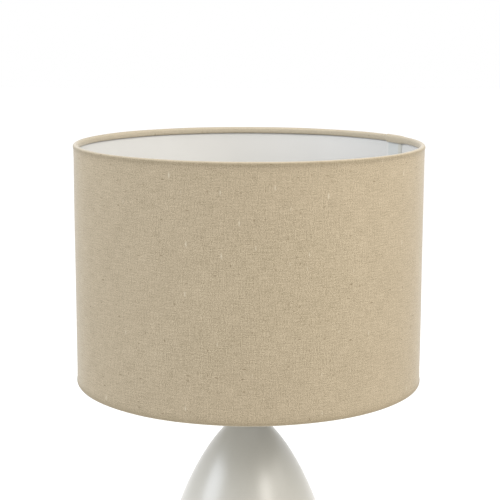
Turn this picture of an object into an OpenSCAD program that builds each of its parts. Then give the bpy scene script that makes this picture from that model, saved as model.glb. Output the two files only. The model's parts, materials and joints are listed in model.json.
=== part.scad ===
// Table lamp with a drum shade: an egg-shaped glazed ceramic body on a felted foot, a short metal
// neck, an E27 lampholder with an LED bulb, and a linen drum shade held by a screwed shade ring.
// Origin: centre of the foot, on the table. +Z is up and +Y is the rear, where the cable comes out.

/* [Drum shade] */
// Outside diameter of the shade
shade_d = 300; // [280:1:330]
// Height of the shade from edge to edge
shade_h = 207; // [190:1:230]
// Height of the shade's lower edge above the table
shade_bottom_z = 250; // [246:1:254]
// Thickness of the linen
fabric_t = 0.8; // [0.6:0.1:1]
// Thickness of the white styrene liner
liner_t = 0.6; // [0.4:0.1:0.8]
// Depth of the linen edge that is rolled inwards at the top and bottom
hem_h = 5; // [4.5:0.5:7]
// Thickness of the linen rolled round a hoop
hem_wrap_t = 0.5; // [0.4:0.1:0.7]
// Diameter of the two hoop wires
hoop_wire_d = 2.6; // [2:0.1:3]
// Direction of the overlap seam, in degrees from +X towards +Y
seam_angle = 27; // [0:1:359]
// Width of the overlap seam
seam_w = 20; // [8:1:24]

/* [Shade fitter] */
// Hole through the fitter ring
fitter_hole_d = 42; // [41:0.5:43]
// Outside diameter of the fitter ring
fitter_d = 54; // [52:1:56]
// Thickness of the fitter ring
fitter_t = 1.5; // [1.2:0.1:1.8]
// Height of the fitter ring's seat above the shade's lower edge
fitter_recess = 11; // [8:1:14]
// Number of spokes
spoke_count = 3; // [3:1:4]
// Diameter of a spoke
spoke_d = 3.2; // [2.6:0.1:3.6]

/* [Ceramic body] */
// Height of the mouth above the table
body_top_z = 209.5; // [208:0.5:211]
// Height at which the egg curve would close above the mouth
egg_tip_z = 215.9; // [214:0.1:218]
// Length of the whole egg curve from tip to tip
egg_h = 237.5; // [236:0.5:240]
// Fullness of the egg curve
egg_fullness = 0.1504; // [0.13:0.0001:0.17]
// How much fuller the curve grows downwards, per millimetre
egg_droop = 0.01156; // [0.01:0.0001:0.013]
// Thickness of the ceramic wall, measured level
wall_t = 5; // [4:0.5:6]
// Thickness of the ceramic under the neck
mouth_t = 8; // [6:0.5:10]
// Inside radius of the ledge that the tension plate pulls against
ledge_r = 38; // [34:1:40]
// Height of the ledge above the table
ledge_z = 32; // [30:1:36]
// Thickness of the ledge
ledge_t = 6; // [5:0.5:8]

/* [Foot] */
// Thickness of the felt pad
felt_t = 1.5; // [1:0.1:2]
// Radius of the felt pad
felt_r = 47.5; // [46.5:0.5:48.5]
// Thickness of the hardboard disc that closes the foot
disc_t = 2.5; // [2:0.5:3]
// Radius of the hardboard disc
disc_r = 43; // [42:0.5:43.5]
// Radius of the tension plate
plate_r = 42; // [41:0.5:42.5]
// Thickness of the tension plate
plate_t = 2; // [1.5:0.5:3]

/* [Cable outlet] */
// Diameter of the hole that the cable runs through
cable_hole_d = 7; // [6:0.5:8]
// Outside diameter of the bush
bush_d = 11; // [10.5:0.5:12]
// Diameter of the bush's lips
lip_d = 15; // [14:0.5:16]
// Thickness of the bush's lips
lip_t = 1.2; // [1:0.1:1.5]
// Height of the cable outlet above the table
outlet_z = 15; // [14:0.5:17]
// Length of the bush
bush_len = 17; // [16:0.5:18]

/* [Rod and neck] */
// Outside diameter of the hollow threaded rod
rod_d = 10; // [10:1:10]
// Bore of the hollow rod
rod_bore_d = 7; // [6:0.5:8]
// Height of the rod's lower end above the table
rod_bottom_z = 20; // [18:1:22]
// Distance across the flats of the two rod nuts
nut_af = 14; // [13:1:15]
// Thickness of a rod nut
nut_t = 4; // [3:0.5:4]
// Thickness of a toothed washer
washer_t = 1.2; // [1:0.1:1.5]
// Radius of a toothed washer
washer_r = 8.6; // [8.2:0.1:9]
// Height of the turned cap on the mouth
cap_h = 5; // [4:0.5:6]
// Radius of the turned cap on the mouth
cap_r = 14.9; // [14.2:0.1:15.2]
// Radius of the neck sleeve
sleeve_r = 11; // [10.6:0.1:12]
// Wall of the neck sleeve
sleeve_wall = 1.2; // [1:0.1:1.5]
// Height of the neck sleeve
sleeve_h = 17.5; // [17:0.5:19]

/* [Lampholder] */
// Radius of the lampholder's cap
holder_r = 20.5; // [20.2:0.1:21]
// Height of the lampholder's cap
holder_cap_h = 26; // [26:1:27]
// Radius over the skirt's thread
skirt_r = 19.6; // [19.4:0.1:19.8]
// Radius at the root of the skirt's thread
skirt_root_r = 18.9; // [18.6:0.1:19]
// Pitch of the skirt's thread
skirt_pitch = 2.5; // [2:0.5:3]
// Height of the skirt above the fitter seat
skirt_h = 29; // [28:1:30]
// Radius of the flange that the fitter ring rests on
flange_r = 24; // [23:0.5:24]
// Thickness of the flange
flange_t = 3; // [2.5:0.5:3]
// Radius of the hole through the skirt
skirt_bore_r = 15; // [14.8:0.1:15.2]
// Inside radius of the brass screw shell
shell_r = 13.2; // [13.2:0.05:13.3]
// Thickness of the brass screw shell
shell_t = 0.6; // [0.5:0.1:0.8]

/* [Shade ring] */
// Radius of the shade ring's flange
ring_flange_r = 28; // [27:0.5:29]
// Thickness of the shade ring's flange
ring_flange_t = 2; // [1.5:0.5:2.5]
// Height of the shade ring
ring_h = 8.3; // [7:0.1:9]
// Number of finger grips round the shade ring
ring_grips = 18; // [12:1:24]

/* [Bulb] */
// Radius over the thread of the bulb's cap
bulb_cap_r = 13.1; // [13:0.05:13.1]
// Radius of the opal globe
globe_r = 30; // [28:0.5:30]
// Wall of the opal globe
globe_wall = 1.2; // [1:0.1:1.5]
// Length of the bulb from contact to crown
bulb_len = 112; // [108:1:116]
// How far the globe's centre lies above its cut edge
globe_cut = 12.5; // [11:0.5:13]

/* [Hidden] */
$fn = 96;

play = 0.08;        // running clearance between a round part and its hole
face_gap = 0.1;     // gap between faces that turn or lift against each other
past = 1;           // how far a cutting shape runs past the part it cuts
lip_gap = 0.2;      // gap between the cable bush's lips and the ceramic

// Shade, from the outside inwards
shade_r = shade_d / 2;
shade_top_z = shade_bottom_z + shade_h;
liner_r = shade_r - fabric_t;
liner_in_r = liner_r - liner_t;
edge_lap = 2;       // how far the linen runs past the liner at each edge
hoop_r = hoop_wire_d / 2;
hoop_path_r = liner_in_r - hoop_r - 0.1;
hoop_edge = hem_wrap_t + hoop_r;
roll_r = hoop_r + hem_wrap_t;
hem_tail_t = 1.8;   // thickness of the turned edge below the roll

// Heights of the lampholder, which the shade's fitter rests on
seat_z = shade_bottom_z + fitter_recess;
skirt_z = seat_z - flange_t;
sleeve_z = body_top_z + cap_h;
holder_z = sleeve_z + sleeve_h;
cap_top_z = holder_z + holder_cap_h;
core_z = cap_top_z - 8;
core_top_z = cap_top_z + 4;
rod_top_z = holder_z + 11;
fitter_z = seat_z + face_gap;
ring_z = fitter_z + fitter_t + face_gap;

// Heights of the bulb, which stands on the centre contact
contact_h = 3;
bulb_z = core_top_z + contact_h + face_gap;
bulb_cap_z = bulb_z + 5;
bulb_cap_top_z = bulb_cap_z + 22;
globe_z = bulb_z + bulb_len - globe_r;
globe_edge_z = globe_z - globe_cut;

// Half of the ceramic body's egg outline: its radius at a height
function egg_r(z) =
    let (down = egg_tip_z - z)
    sqrt(egg_fullness * down * (egg_h - down) * (1 + egg_droop * down));

// Points along the egg outline between two heights, closer together towards the mouth
function egg_line(z_low, z_high, inset, steps) =
    [for (i = [0 : steps])
        let (z = z_high - (z_high - z_low) * pow(1 - i / steps, 1.4))
        [egg_r(z) - inset, z]];

function reversed(list) = [for (i = [len(list) - 1 : -1 : 0]) list[i]];

// Points round an arc from one angle to another
function arc(centre, r, from, to, steps) =
    [for (i = [0 : steps])
        let (a = from + (to - from) * i / steps)
        centre + r * [cos(a), sin(a)]];

module tube(r_out, r_in, h) {
    difference() {
        cylinder(r = r_out, h = h);
        translate([0, 0, -past]) cylinder(r = r_in, h = h + 2 * past);
    }
}

module ring_wire(path_r, wire_r) {
    rotate_extrude() translate([path_r, 0]) circle(r = wire_r, $fn = 32);
}

module hex_nut() {
    difference() {
        cylinder(d = nut_af / cos(30), h = nut_t, $fn = 6);
        translate([0, 0, -past]) cylinder(d = rod_d, h = nut_t + 2 * past);
    }
}

// A washer with teeth cut round its rim
module toothed_washer() {
    teeth = 12;
    difference() {
        cylinder(r = washer_r, h = washer_t);
        translate([0, 0, -past]) cylinder(d = rod_d, h = washer_t + 2 * past);
        for (i = [0 : teeth - 1])
            rotate(i * 360 / teeth)
                translate([washer_r - 0.9, -0.5, -past]) cube([2, 1, washer_t + 2 * past]);
    }
}

// ---- Foot and ceramic body

module felt_pad() {
    color("#3a3a38") cylinder(r = felt_r, h = felt_t);
}

module foot_disc() {
    color("#8a6a48") translate([0, 0, felt_t]) cylinder(r = disc_r, h = disc_t);
}

module tension_plate() {
    color("#a9adb0")
        translate([0, 0, ledge_z - plate_t]) tube(plate_r, rod_d / 2, plate_t);
}

module bottom_washer() {
    color("#b4b6b6") translate([0, 0, ledge_z - plate_t - washer_t]) toothed_washer();
}

module bottom_nut() {
    color("#b8a468") translate([0, 0, ledge_z - plate_t - washer_t - nut_t]) hex_nut();
}

module threaded_rod() {
    color("#b4b6b6")
        translate([0, 0, rod_bottom_z]) tube(rod_d / 2, rod_bore_d / 2, rod_top_z - rod_bottom_z);
}

module ceramic_body() {
    foot_open_r = egg_r(felt_t) - wall_t;
    cavity_top = body_top_z - mouth_t;
    rod_hole_r = rod_d / 2 + 0.4;
    lip = 0.8;
    above_ledge = egg_line(ledge_z + ledge_t, cavity_top, wall_t, 16);
    below_ledge = egg_line(felt_t + disc_t, ledge_z, wall_t, 4);
    outline = concat(
        egg_line(felt_t, body_top_z - lip, 0, 40),
        [[egg_r(body_top_z), body_top_z], [rod_hole_r, body_top_z], [rod_hole_r, cavity_top]],
        reversed(above_ledge),
        [[ledge_r, ledge_z + ledge_t], [ledge_r, ledge_z]],
        reversed(below_ledge),
        [[disc_r, felt_t + disc_t], [disc_r, felt_t]]);
    color("#dddcd4")
        difference() {
            rotate_extrude($fn = 128) polygon(outline);
            translate([0, 0, outlet_z])
                rotate([-90, 0, 0]) cylinder(d = bush_d + 2 * play, h = egg_r(outlet_z) + 10);
        }
}

// A layer that follows the ceramic from one inset to another, near the cable outlet
module wall_layer(inset_out, inset_in) {
    low = outlet_z - lip_d / 2 - past;
    high = outlet_z + lip_d / 2 + past;
    rotate_extrude()
        polygon(concat(egg_line(low, high, inset_out, 6), reversed(egg_line(low, high, inset_in, 6))));
}

module cable_bush() {
    bush_end = egg_r(outlet_z + lip_d / 2) + lip_t + 1;
    along_y = [-90, 0, 0];
    color("#e8e6e0")
        difference() {
            union() {
                translate([0, bush_end - bush_len, outlet_z])
                    rotate(along_y) cylinder(d = bush_d, h = bush_len);
                for (layer = [[-lip_t, -lip_gap], [wall_t + lip_gap, wall_t + lip_t]])
                    intersection() {
                        wall_layer(layer[0], layer[1]);
                        translate([0, 0, outlet_z]) rotate(along_y) cylinder(d = lip_d, h = bush_end);
                    }
            }
            translate([0, bush_end - bush_len - past, outlet_z])
                rotate(along_y) cylinder(d = cable_hole_d, h = bush_len + 2 * past);
        }
}

// ---- Neck

module mouth_cap() {
    edge = 1.2;
    color("#b9b8b2")
        translate([0, 0, body_top_z])
            rotate_extrude()
                polygon([[rod_d / 2 + 0.3, 0], [cap_r - edge, 0], [cap_r, edge], [cap_r, cap_h / 2],
                         [sleeve_r + 2.4, cap_h], [rod_d / 2 + 0.3, cap_h]]);
}

module top_washer() {
    color("#b4b6b6") translate([0, 0, sleeve_z]) toothed_washer();
}

module top_nut() {
    color("#b8a468") translate([0, 0, sleeve_z + washer_t]) hex_nut();
}

module neck_sleeve() {
    color("#b9b8b2") translate([0, 0, sleeve_z]) tube(sleeve_r, sleeve_r - sleeve_wall, sleeve_h);
}

// ---- Lampholder

locking_screw_d = 3;
locking_screw_z = 2.4;
holder_foot_r = 12.5;

module holder_cap() {
    wall = 2;
    boss_r = 8.5;
    boss_h = 12;
    floor_t = 4.5;
    color("#efeee9")
        translate([0, 0, holder_z])
            difference() {
                rotate_extrude()
                    polygon([[rod_d / 2, 0], [holder_foot_r, 0], [holder_foot_r, 2], [holder_r, 13],
                             [holder_r, holder_cap_h], [holder_r - wall, holder_cap_h],
                             [holder_r - wall, 14], [holder_foot_r - 0.9, floor_t], [boss_r, floor_t],
                             [boss_r, boss_h], [rod_d / 2, boss_h]]);
                translate([0, 0, locking_screw_z])
                    rotate([-90, 0, 0]) cylinder(d = locking_screw_d, h = holder_r);
            }
}

module locking_screw() {
    slot_w = 0.6;
    length = holder_foot_r - rod_d / 2 - 0.3;
    color("#b4b6b6")
        translate([0, rod_d / 2, holder_z + locking_screw_z])
            rotate([-90, 0, 0])
                difference() {
                    cylinder(d = locking_screw_d, h = length);
                    translate([-locking_screw_d, -slot_w / 2, length - 0.8])
                        cube([2 * locking_screw_d, slot_w, 2]);
                }
}

terminal_x = 7;
terminal_shank_d = 2.8;
terminal_deep = 6;

module holder_core() {
    color("#f1f0ec")
        difference() {
            union() {
                translate([0, 0, core_z]) cylinder(r = holder_r - 2.2, h = cap_top_z - core_z);
                translate([0, 0, core_z - 3]) cylinder(r = 11.5, h = 3);
                translate([0, 0, cap_top_z]) cylinder(r = skirt_bore_r - 0.4, h = core_top_z - cap_top_z);
            }
            for (side = [-1, 1])
                translate([side * terminal_x, 0, core_z - 3 - past])
                    cylinder(d = terminal_shank_d, h = terminal_deep + past);
        }
}

module terminal_screws() {
    head_h = 2;
    slot_w = 0.8;
    color("#c9b267")
        for (side = [-1, 1])
            translate([side * terminal_x, 0, core_z - 3])
                difference() {
                    union() {
                        cylinder(d = terminal_shank_d, h = terminal_deep);
                        translate([0, 0, -head_h]) cylinder(d = 5, h = head_h);
                    }
                    translate([-slot_w / 2, -3, -head_h - past]) cube([slot_w, 6, past + 0.8]);
                }
}

module centre_contact() {
    leaf_t = 0.6;
    color("#c9a24a")
        translate([0, 0, core_top_z]) {
            cylinder(r = 3, h = leaf_t);
            cylinder(r = 1.5, h = contact_h);
            translate([-5, -2.5, contact_h - leaf_t]) cube([10, 5, leaf_t]);
        }
}

module screw_shell() {
    shell_h = 26;
    color("#c9a24a")
        translate([0, 0, core_top_z])
            rotate_extrude()
                polygon([[10, 0], [shell_r + shell_t, 0], [shell_r + shell_t, shell_h],
                         [shell_r, shell_h], [shell_r, shell_t], [10, shell_t]]);
}

module holder_skirt() {
    plain_h = 3;
    lip_h = 2;
    crest = 0.8;
    flank = 0.5;
    turns = floor((skirt_h - plain_h - lip_h) / skirt_pitch);
    thread = [for (i = [0 : turns - 1])
        for (point = [[skirt_r, 0], [skirt_root_r, flank], [skirt_root_r, skirt_pitch - crest - flank],
                      [skirt_r, skirt_pitch - crest]])
            [point[0], seat_z + plain_h + i * skirt_pitch + point[1]]];
    color("#efeee9")
        rotate_extrude()
            polygon(concat(
                [[skirt_bore_r, skirt_z], [flange_r, skirt_z], [flange_r, seat_z], [skirt_r, seat_z]],
                thread,
                [[skirt_r, seat_z + skirt_h], [skirt_bore_r - 0.8, seat_z + skirt_h],
                 [skirt_bore_r - 0.8, seat_z + skirt_h - 1], [skirt_bore_r, seat_z + skirt_h - 1]]));
}

// ---- Bulb

insulator_r = 5;

module bulb_contact() {
    color("#c8c8c4") translate([0, 0, bulb_z]) cylinder(r1 = insulator_r - 1, r2 = insulator_r, h = 1.5);
}

module bulb_insulator() {
    color("#1d1d1f")
        translate([0, 0, bulb_z + 1.5])
            cylinder(r1 = insulator_r, r2 = bulb_cap_r - 0.5, h = bulb_cap_z - bulb_z - 1.5);
}

module bulb_cap() {
    color("#c8c8c4")
        translate([0, 0, bulb_cap_z]) tube(bulb_cap_r, bulb_cap_r - 0.4, bulb_cap_top_z - bulb_cap_z);
}

// Outline of the white housing: a quarter wave from the cap's radius out to the globe's edge
function housing_line(inset, steps) =
    let (edge_r = sqrt(pow(globe_r, 2) - pow(globe_cut, 2)), neck_r = bulb_cap_r + 0.4)
    [for (i = [0 : steps])
        let (f = i / steps)
        [neck_r + (edge_r - neck_r) * (1 - cos(180 * f)) / 2 - inset,
         bulb_cap_top_z + (globe_edge_z - bulb_cap_top_z) * pow(f, 0.9)]];

module bulb_housing() {
    wall = 1.5;
    plug_r = bulb_cap_r - 0.4;
    outer = housing_line(0, 14);
    inner = [for (point = reversed(housing_line(wall, 14))) [point[0], point[1] - wall]];
    color("#f4f4f2")
        rotate_extrude()
            polygon(concat(
                [[plug_r - wall, bulb_cap_z + 2], [plug_r, bulb_cap_z + 2], [plug_r, bulb_cap_top_z]],
                outer,
                [[0, globe_edge_z], [0, globe_edge_z - wall]],
                inner));
}

module led_board() {
    color("#e9e9e2") translate([0, 0, globe_edge_z]) cylinder(r = globe_r - 8, h = 1.5);
}

module bulb_globe() {
    color("#fbfaf5")
        difference() {
            translate([0, 0, globe_z]) sphere(r = globe_r);
            translate([0, 0, globe_z]) sphere(r = globe_r - globe_wall);
            translate([0, 0, globe_edge_z - globe_r]) cylinder(r = globe_r + past, h = globe_r);
        }
}

// ---- Shade ring, fitter and shade

module shade_ring() {
    hub_r = skirt_r + 3.4;
    grip_r = 1;
    color("#efeee9")
        translate([0, 0, ring_z])
            difference() {
                union() {
                    cylinder(r = ring_flange_r, h = ring_flange_t);
                    cylinder(r = hub_r, h = ring_h);
                }
                translate([0, 0, -past]) cylinder(r = skirt_r + play, h = ring_h + 2 * past);
                for (i = [0 : ring_grips - 1])
                    rotate(i * 360 / ring_grips)
                        translate([hub_r + 0.3, 0, ring_flange_t]) cylinder(r = grip_r, h = ring_h, $fn = 24);
            }
}

module fitter_ring() {
    color("#f2f2ef") translate([0, 0, fitter_z]) tube(fitter_d / 2, fitter_hole_d / 2, fitter_t);
}

// The straight line of one spoke, from under the fitter ring to the lower hoop
spoke_in_r = flange_r + 0.6;
spoke_out_r = hoop_path_r - hoop_r;
spoke_in_z = fitter_z - 0.9;
spoke_out_z = shade_bottom_z + hoop_edge;
spoke_drop = spoke_in_z - spoke_out_z;
spoke_tilt = atan(spoke_drop / (spoke_out_r - spoke_in_r));
spoke_length = (spoke_out_r - spoke_in_r) / cos(spoke_tilt);

module each_spoke() {
    for (i = [0 : spoke_count - 1])
        rotate(90 + i * 360 / spoke_count)
            children();
}

module spoke_rod(d, extra) {
    translate([spoke_in_r, 0, spoke_in_z])
        rotate([0, 90 + spoke_tilt, 0]) cylinder(d = d, h = spoke_length + extra);
}

module spokes() {
    color("#f2f2ef")
        each_spoke()
            difference() {
                spoke_rod(spoke_d, 0);
                translate([0, 0, fitter_z]) cylinder(r = fitter_d / 2, h = fitter_t + past);
            }
}

module bottom_hoop() {
    color("#f2f2ef")
        translate([0, 0, shade_bottom_z + hoop_edge]) ring_wire(hoop_path_r, hoop_r);
}

module top_hoop() {
    color("#f2f2ef")
        translate([0, 0, shade_top_z - hoop_edge]) ring_wire(hoop_path_r, hoop_r);
}

// A rolled edge, drawn as the upper one with its fold at height 0
module rolled_edge() {
    wire = [hoop_path_r, -hoop_edge];
    rotate_extrude($fn = 192)
        difference() {
            polygon(concat(
                [[liner_r, -edge_lap], [liner_r, 0]],
                arc(wire, roll_r, 90, 180, 8),
                [[liner_in_r - hem_tail_t, -hem_h + 1], [liner_in_r - hem_tail_t + 0.5, -hem_h],
                 [liner_in_r, -hem_h], [liner_in_r, -edge_lap]]));
            translate(wire) circle(r = hoop_r, $fn = 32);
        }
}

module top_hem() {
    color("#cfc0a4") translate([0, 0, shade_top_z]) rolled_edge();
}

module bottom_hem() {
    color("#cfc0a4")
        difference() {
            translate([0, 0, shade_bottom_z]) mirror([0, 0, 1]) rolled_edge();
            each_spoke() spoke_rod(spoke_d + 0.2, 0.2);
        }
}

module shade_liner() {
    seam_sweep = seam_w / liner_in_r * 180 / PI;
    color("#f3f1ea") {
        translate([0, 0, shade_bottom_z + edge_lap]) tube(liner_r, liner_in_r, shade_h - 2 * edge_lap);
        translate([0, 0, shade_bottom_z + hem_h])
            rotate(seam_angle - seam_sweep / 2)
                rotate_extrude(angle = seam_sweep)
                    translate([liner_in_r - liner_t, 0]) square([1.5 * liner_t, shade_h - 2 * hem_h]);
    }
}

module shade_fabric() {
    color("#c4b497") translate([0, 0, shade_bottom_z]) tube(shade_r, liner_r, shade_h);
}

felt_pad();
foot_disc();
tension_plate();
bottom_washer();
bottom_nut();
threaded_rod();
cable_bush();
ceramic_body();
mouth_cap();
top_washer();
top_nut();
neck_sleeve();
holder_cap();
locking_screw();
holder_core();
terminal_screws();
centre_contact();
screw_shell();
holder_skirt();
bulb_contact();
bulb_insulator();
bulb_cap();
bulb_housing();
led_board();
bulb_globe();
shade_ring();
fitter_ring();
spokes();
bottom_hoop();
bottom_hem();
shade_liner();
shade_fabric();
top_hoop();
top_hem();
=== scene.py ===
# %% [markdown]
# # A table lamp with a linen drum shade
#
# The lamp stands on a hollow ceramic body. A metal neck carries a screw lampholder with an LED bulb, and a
# screwed ring holds the shade, which is linen and white styrene rolled round two wire hoops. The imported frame
# fixes every size, place and joint. This script gives each part its finished shape and its finish.
#
# Nearly everything on this lamp is round, because it was cast in a round mould, turned on a lathe or rolled
# from a sheet. So two functions make nearly all of it, one for turned pieces and one for rolled sheets.

# %% Load the fixed frame
import json
import math
import bmesh
import bpy
import numpy as np
from mathutils import Matrix, Vector

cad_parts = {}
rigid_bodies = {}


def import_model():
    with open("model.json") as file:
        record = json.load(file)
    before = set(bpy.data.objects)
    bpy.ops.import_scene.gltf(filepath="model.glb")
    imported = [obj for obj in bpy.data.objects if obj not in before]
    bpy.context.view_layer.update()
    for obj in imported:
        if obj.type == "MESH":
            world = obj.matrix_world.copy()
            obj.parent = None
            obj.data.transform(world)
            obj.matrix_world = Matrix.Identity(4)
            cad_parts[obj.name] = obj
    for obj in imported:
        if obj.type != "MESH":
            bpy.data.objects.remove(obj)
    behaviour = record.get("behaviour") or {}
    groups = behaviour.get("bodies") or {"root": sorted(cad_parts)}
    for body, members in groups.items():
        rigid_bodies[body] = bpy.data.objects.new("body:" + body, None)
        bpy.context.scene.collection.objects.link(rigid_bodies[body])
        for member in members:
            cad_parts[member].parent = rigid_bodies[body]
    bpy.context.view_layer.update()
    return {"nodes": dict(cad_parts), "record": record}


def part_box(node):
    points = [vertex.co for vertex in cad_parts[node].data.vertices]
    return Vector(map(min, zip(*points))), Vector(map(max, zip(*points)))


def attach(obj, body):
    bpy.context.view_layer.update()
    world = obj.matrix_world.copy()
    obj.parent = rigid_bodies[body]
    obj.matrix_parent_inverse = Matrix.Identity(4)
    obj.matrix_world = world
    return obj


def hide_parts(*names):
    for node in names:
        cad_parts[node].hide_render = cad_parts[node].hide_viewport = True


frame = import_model()
MM = 0.001

# %% [markdown]
# ## Reading sizes off the frame
#
# A piece is easiest to keep in place when its numbers come from the frame and not from memory. `extent` gives
# a round part's radius and its two heights in millimetres, rounded to a twentieth, because the frame's curved
# faces are made of small flats that fall a hair short of the true radius.


# %% Sizes of the parts
def extent(node):
    """Radius, lowest height and highest height of a part that is round about the lamp's axis, in mm."""
    low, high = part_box(node)
    return tuple(round(value / MM * 20) / 20 for value in (high.x, low.z, high.z))


SHADE_R, SHADE_LOW, SHADE_TOP = extent("shade_fabric")
LINER_R = extent("shade_liner")[0]
print(f"shade: {2 * SHADE_R:.0f} mm across, {SHADE_TOP - SHADE_LOW:.0f} mm high")

# %% [markdown]
# ## Camera
#
# A long lens from some distance keeps the drum's sides nearly parallel. A short lens close by would make them
# lean. The camera stands about eight shade radii away and a little above the shade, and looks down by ten
# degrees, so that the inside of the far wall shows over the near rim.

# %% Camera
LENS_MM, SENSOR_MM = 102.06, 36
FAR_M = 100
CAMERA_BACK = 8.074 * SHADE_R
CAMERA_UP = SHADE_TOP + 0.81 * SHADE_R
LOOKS_DOWN = math.radians(10.075)
LOOKS_RIGHT = math.radians(0.05)
LEANS = math.radians(0.172)

camera_data = bpy.data.cameras.new("camera")
camera_data.lens = LENS_MM
camera_data.sensor_width = SENSOR_MM
camera_data.clip_end = FAR_M
camera = bpy.data.objects.new("camera", camera_data)
bpy.context.scene.collection.objects.link(camera)
camera.matrix_world = (Matrix.Translation((0, -CAMERA_BACK * MM, CAMERA_UP * MM))
                       @ Matrix.Rotation(-LOOKS_RIGHT, 4, "Z")
                       @ Matrix.Rotation(math.pi / 2 - LOOKS_DOWN, 4, "X")
                       @ Matrix.Rotation(LEANS, 4, "Z"))
bpy.context.scene.camera = camera
print(f"camera: {CAMERA_BACK * MM:.2f} m back and {CAMERA_UP * MM:.2f} m up")

# %% [markdown]
# ## Nodes with one small function
#
# Every finish below is a tree of nodes. It could be laid out by hand in the shader editor, but written down it
# can be read from top to bottom. One function adds a node: keyword arguments set the node's own options, and
# `inputs` gives each socket a number or another node's output. Colours are written as sRGB hex, as a paint
# chart gives them, and turned to the linear values that light is added in.


# %% Helpers for finishes
def linear(hex_colour):
    """sRGB hex to linear RGBA: the usual curve, with its straight part near black."""
    srgb = np.array([int(hex_colour[i:i + 2], 16) for i in (1, 3, 5)]) / 255
    rgb = np.where(srgb <= 0.04045, srgb / 12.92, ((srgb + 0.055) / 1.055) ** 2.4)
    return (*rgb.tolist(), 1.0)


def add(tree, kind, inputs, **options):
    """One node, with its options, and in each socket named a number or what another node gives."""
    node = tree.nodes.new(kind)
    for key, option in options.items():
        setattr(node, key, option)
    for key, value in inputs.items():
        if isinstance(value, bpy.types.NodeSocket):
            tree.links.new(value, node.inputs[key])
        else:
            node.inputs[key].default_value = value
    return node


def new_finish(name, **numbers):
    """A material with one Principled shader, whose sockets take these numbers; gives both."""
    material = bpy.data.materials.new(name)
    material.use_nodes = True
    shader = material.node_tree.nodes["Principled BSDF"]
    for key, number in numbers.items():
        shader.inputs[key.replace("_", " ")].default_value = number
    return material, shader


print(f"a mid grey, #808080, is {linear('#808080')[0]:.3f} in linear light")

# %% [markdown]
# Two more helpers describe a pattern in words that a maker would use: how large its grain is, and how much
# each grain counts. Noise is stretched by measuring its place in grains and not in metres, and a sum of
# weighed noises stays round the number that it starts from.


# %% Grain, and the sum of several grains
def grain(tree, where, size_mm, detail=2.0, dimensions="3D"):
    """Noise whose lumps are about size_mm across, one size for each axis; its mean is a half."""
    per_metre = [1 / (size * MM) for size in size_mm]
    in_grains = add(tree, "ShaderNodeMapping", {"Vector": where, "Scale": per_metre})
    noise = add(tree, "ShaderNodeTexNoise", {"Vector": in_grains.outputs[0], "Scale": 1.0, "Detail": detail},
                noise_dimensions=dimensions)
    return noise.outputs[0]


def weighed(tree, start, *parts):
    """start plus the sum of weight times (value less a half), over (value, weight) pairs."""
    total = start - sum(weight for _, weight in parts) / 2
    for value, weight in parts:
        step = add(tree, "ShaderNodeMath", {0: value, 1: weight, 2: total}, operation="MULTIPLY_ADD")
        total = step.outputs[0]
    return total


# %% [markdown]
# ## Linen
#
# The cover is a plain-weave flax and cotton cloth in sand, about twelve threads to the centimetre. Its yarns
# are spun from fibres of slightly different shades, so the cloth looks heathered: each warp thread has its own
# tone for a few millimetres, and each weft thread swells into slubs that run a centimetre or more. Dark bits
# of straw and a few pale knots are caught in the yarn. Flax fibres stand off the surface and catch light at a
# grazing angle, which is what sheen is for.
#
# A scan of cloth would tile and carry its own lighting. Noise stretched along the threads does neither. It
# reads the cloth's own map, in metres along and up the cloth, so the weave follows the cloth round its folds.
# Single threads are too fine to show from where the camera stands, so the threads are drawn a little coarser
# than life and the slubs a little longer.
#
# Two layers carried by the mesh paint light and shade into the cloth's colour: a painted highlight along the
# fold with painted light on the layer that rolls inwards over the wire, and painted shade just below the fold.

# %% Linen yarns and what is caught in them
THREAD_MM = 0.9
RELIEF_MM = 0.11
PALE_YARN, DARK_YARN = linear("#A39680"), linear("#7D725D")
# the pale knot colour is also the tint of the painted light on the fold, and the last colour is the tint of the
# painted shade below it
STRAW, KNOT_AND_FOLD_LIGHT, PAINTED_SHADE_TINT = linear("#5C4E38"), linear("#B8AF9D"), linear("#6E6450")
# colour, size of the cell that holds one fleck, largest fleck as a share of that cell
CAUGHT = (
    (STRAW, (22, 9, 1), 0.07),
    (STRAW, (9, 20, 1), 0.06),
    (KNOT_AND_FOLD_LIGHT, (14, 48, 1), 0.05),
)


def with_flecks(tree, where, colour, fleck, cell_mm, largest):
    """One fleck in each cell of the cloth: most are too small to see, a few reach largest times the cell."""
    per_metre = [1 / (size * MM) for size in cell_mm]
    in_cells = add(tree, "ShaderNodeMapping", {"Vector": where, "Scale": per_metre})
    spot = add(tree, "ShaderNodeTexVoronoi", {"Vector": in_cells.outputs[0], "Scale": 1.0, "Randomness": 1.0},
               voronoi_dimensions="2D")
    chance = add(tree, "ShaderNodeSeparateColor", {0: spot.outputs["Color"]}).outputs[0]
    rare = add(tree, "ShaderNodeMath", {0: chance, 1: 2.5}, operation="POWER").outputs[0]
    radius = add(tree, "ShaderNodeMath", {0: rare, 1: largest}, operation="MULTIPLY").outputs[0]
    inside = add(tree, "ShaderNodeMath", {0: radius, 1: spot.outputs["Distance"]},
                 operation="SUBTRACT").outputs[0]
    share = add(tree, "ShaderNodeMapRange",
                {"Value": inside, "From Min": -0.02, "From Max": 0.04, "To Max": 0.6}).outputs[0]
    return add(tree, "ShaderNodeMix", {0: share, 6: colour, 7: fleck}, data_type="RGBA").outputs[2]


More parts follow.
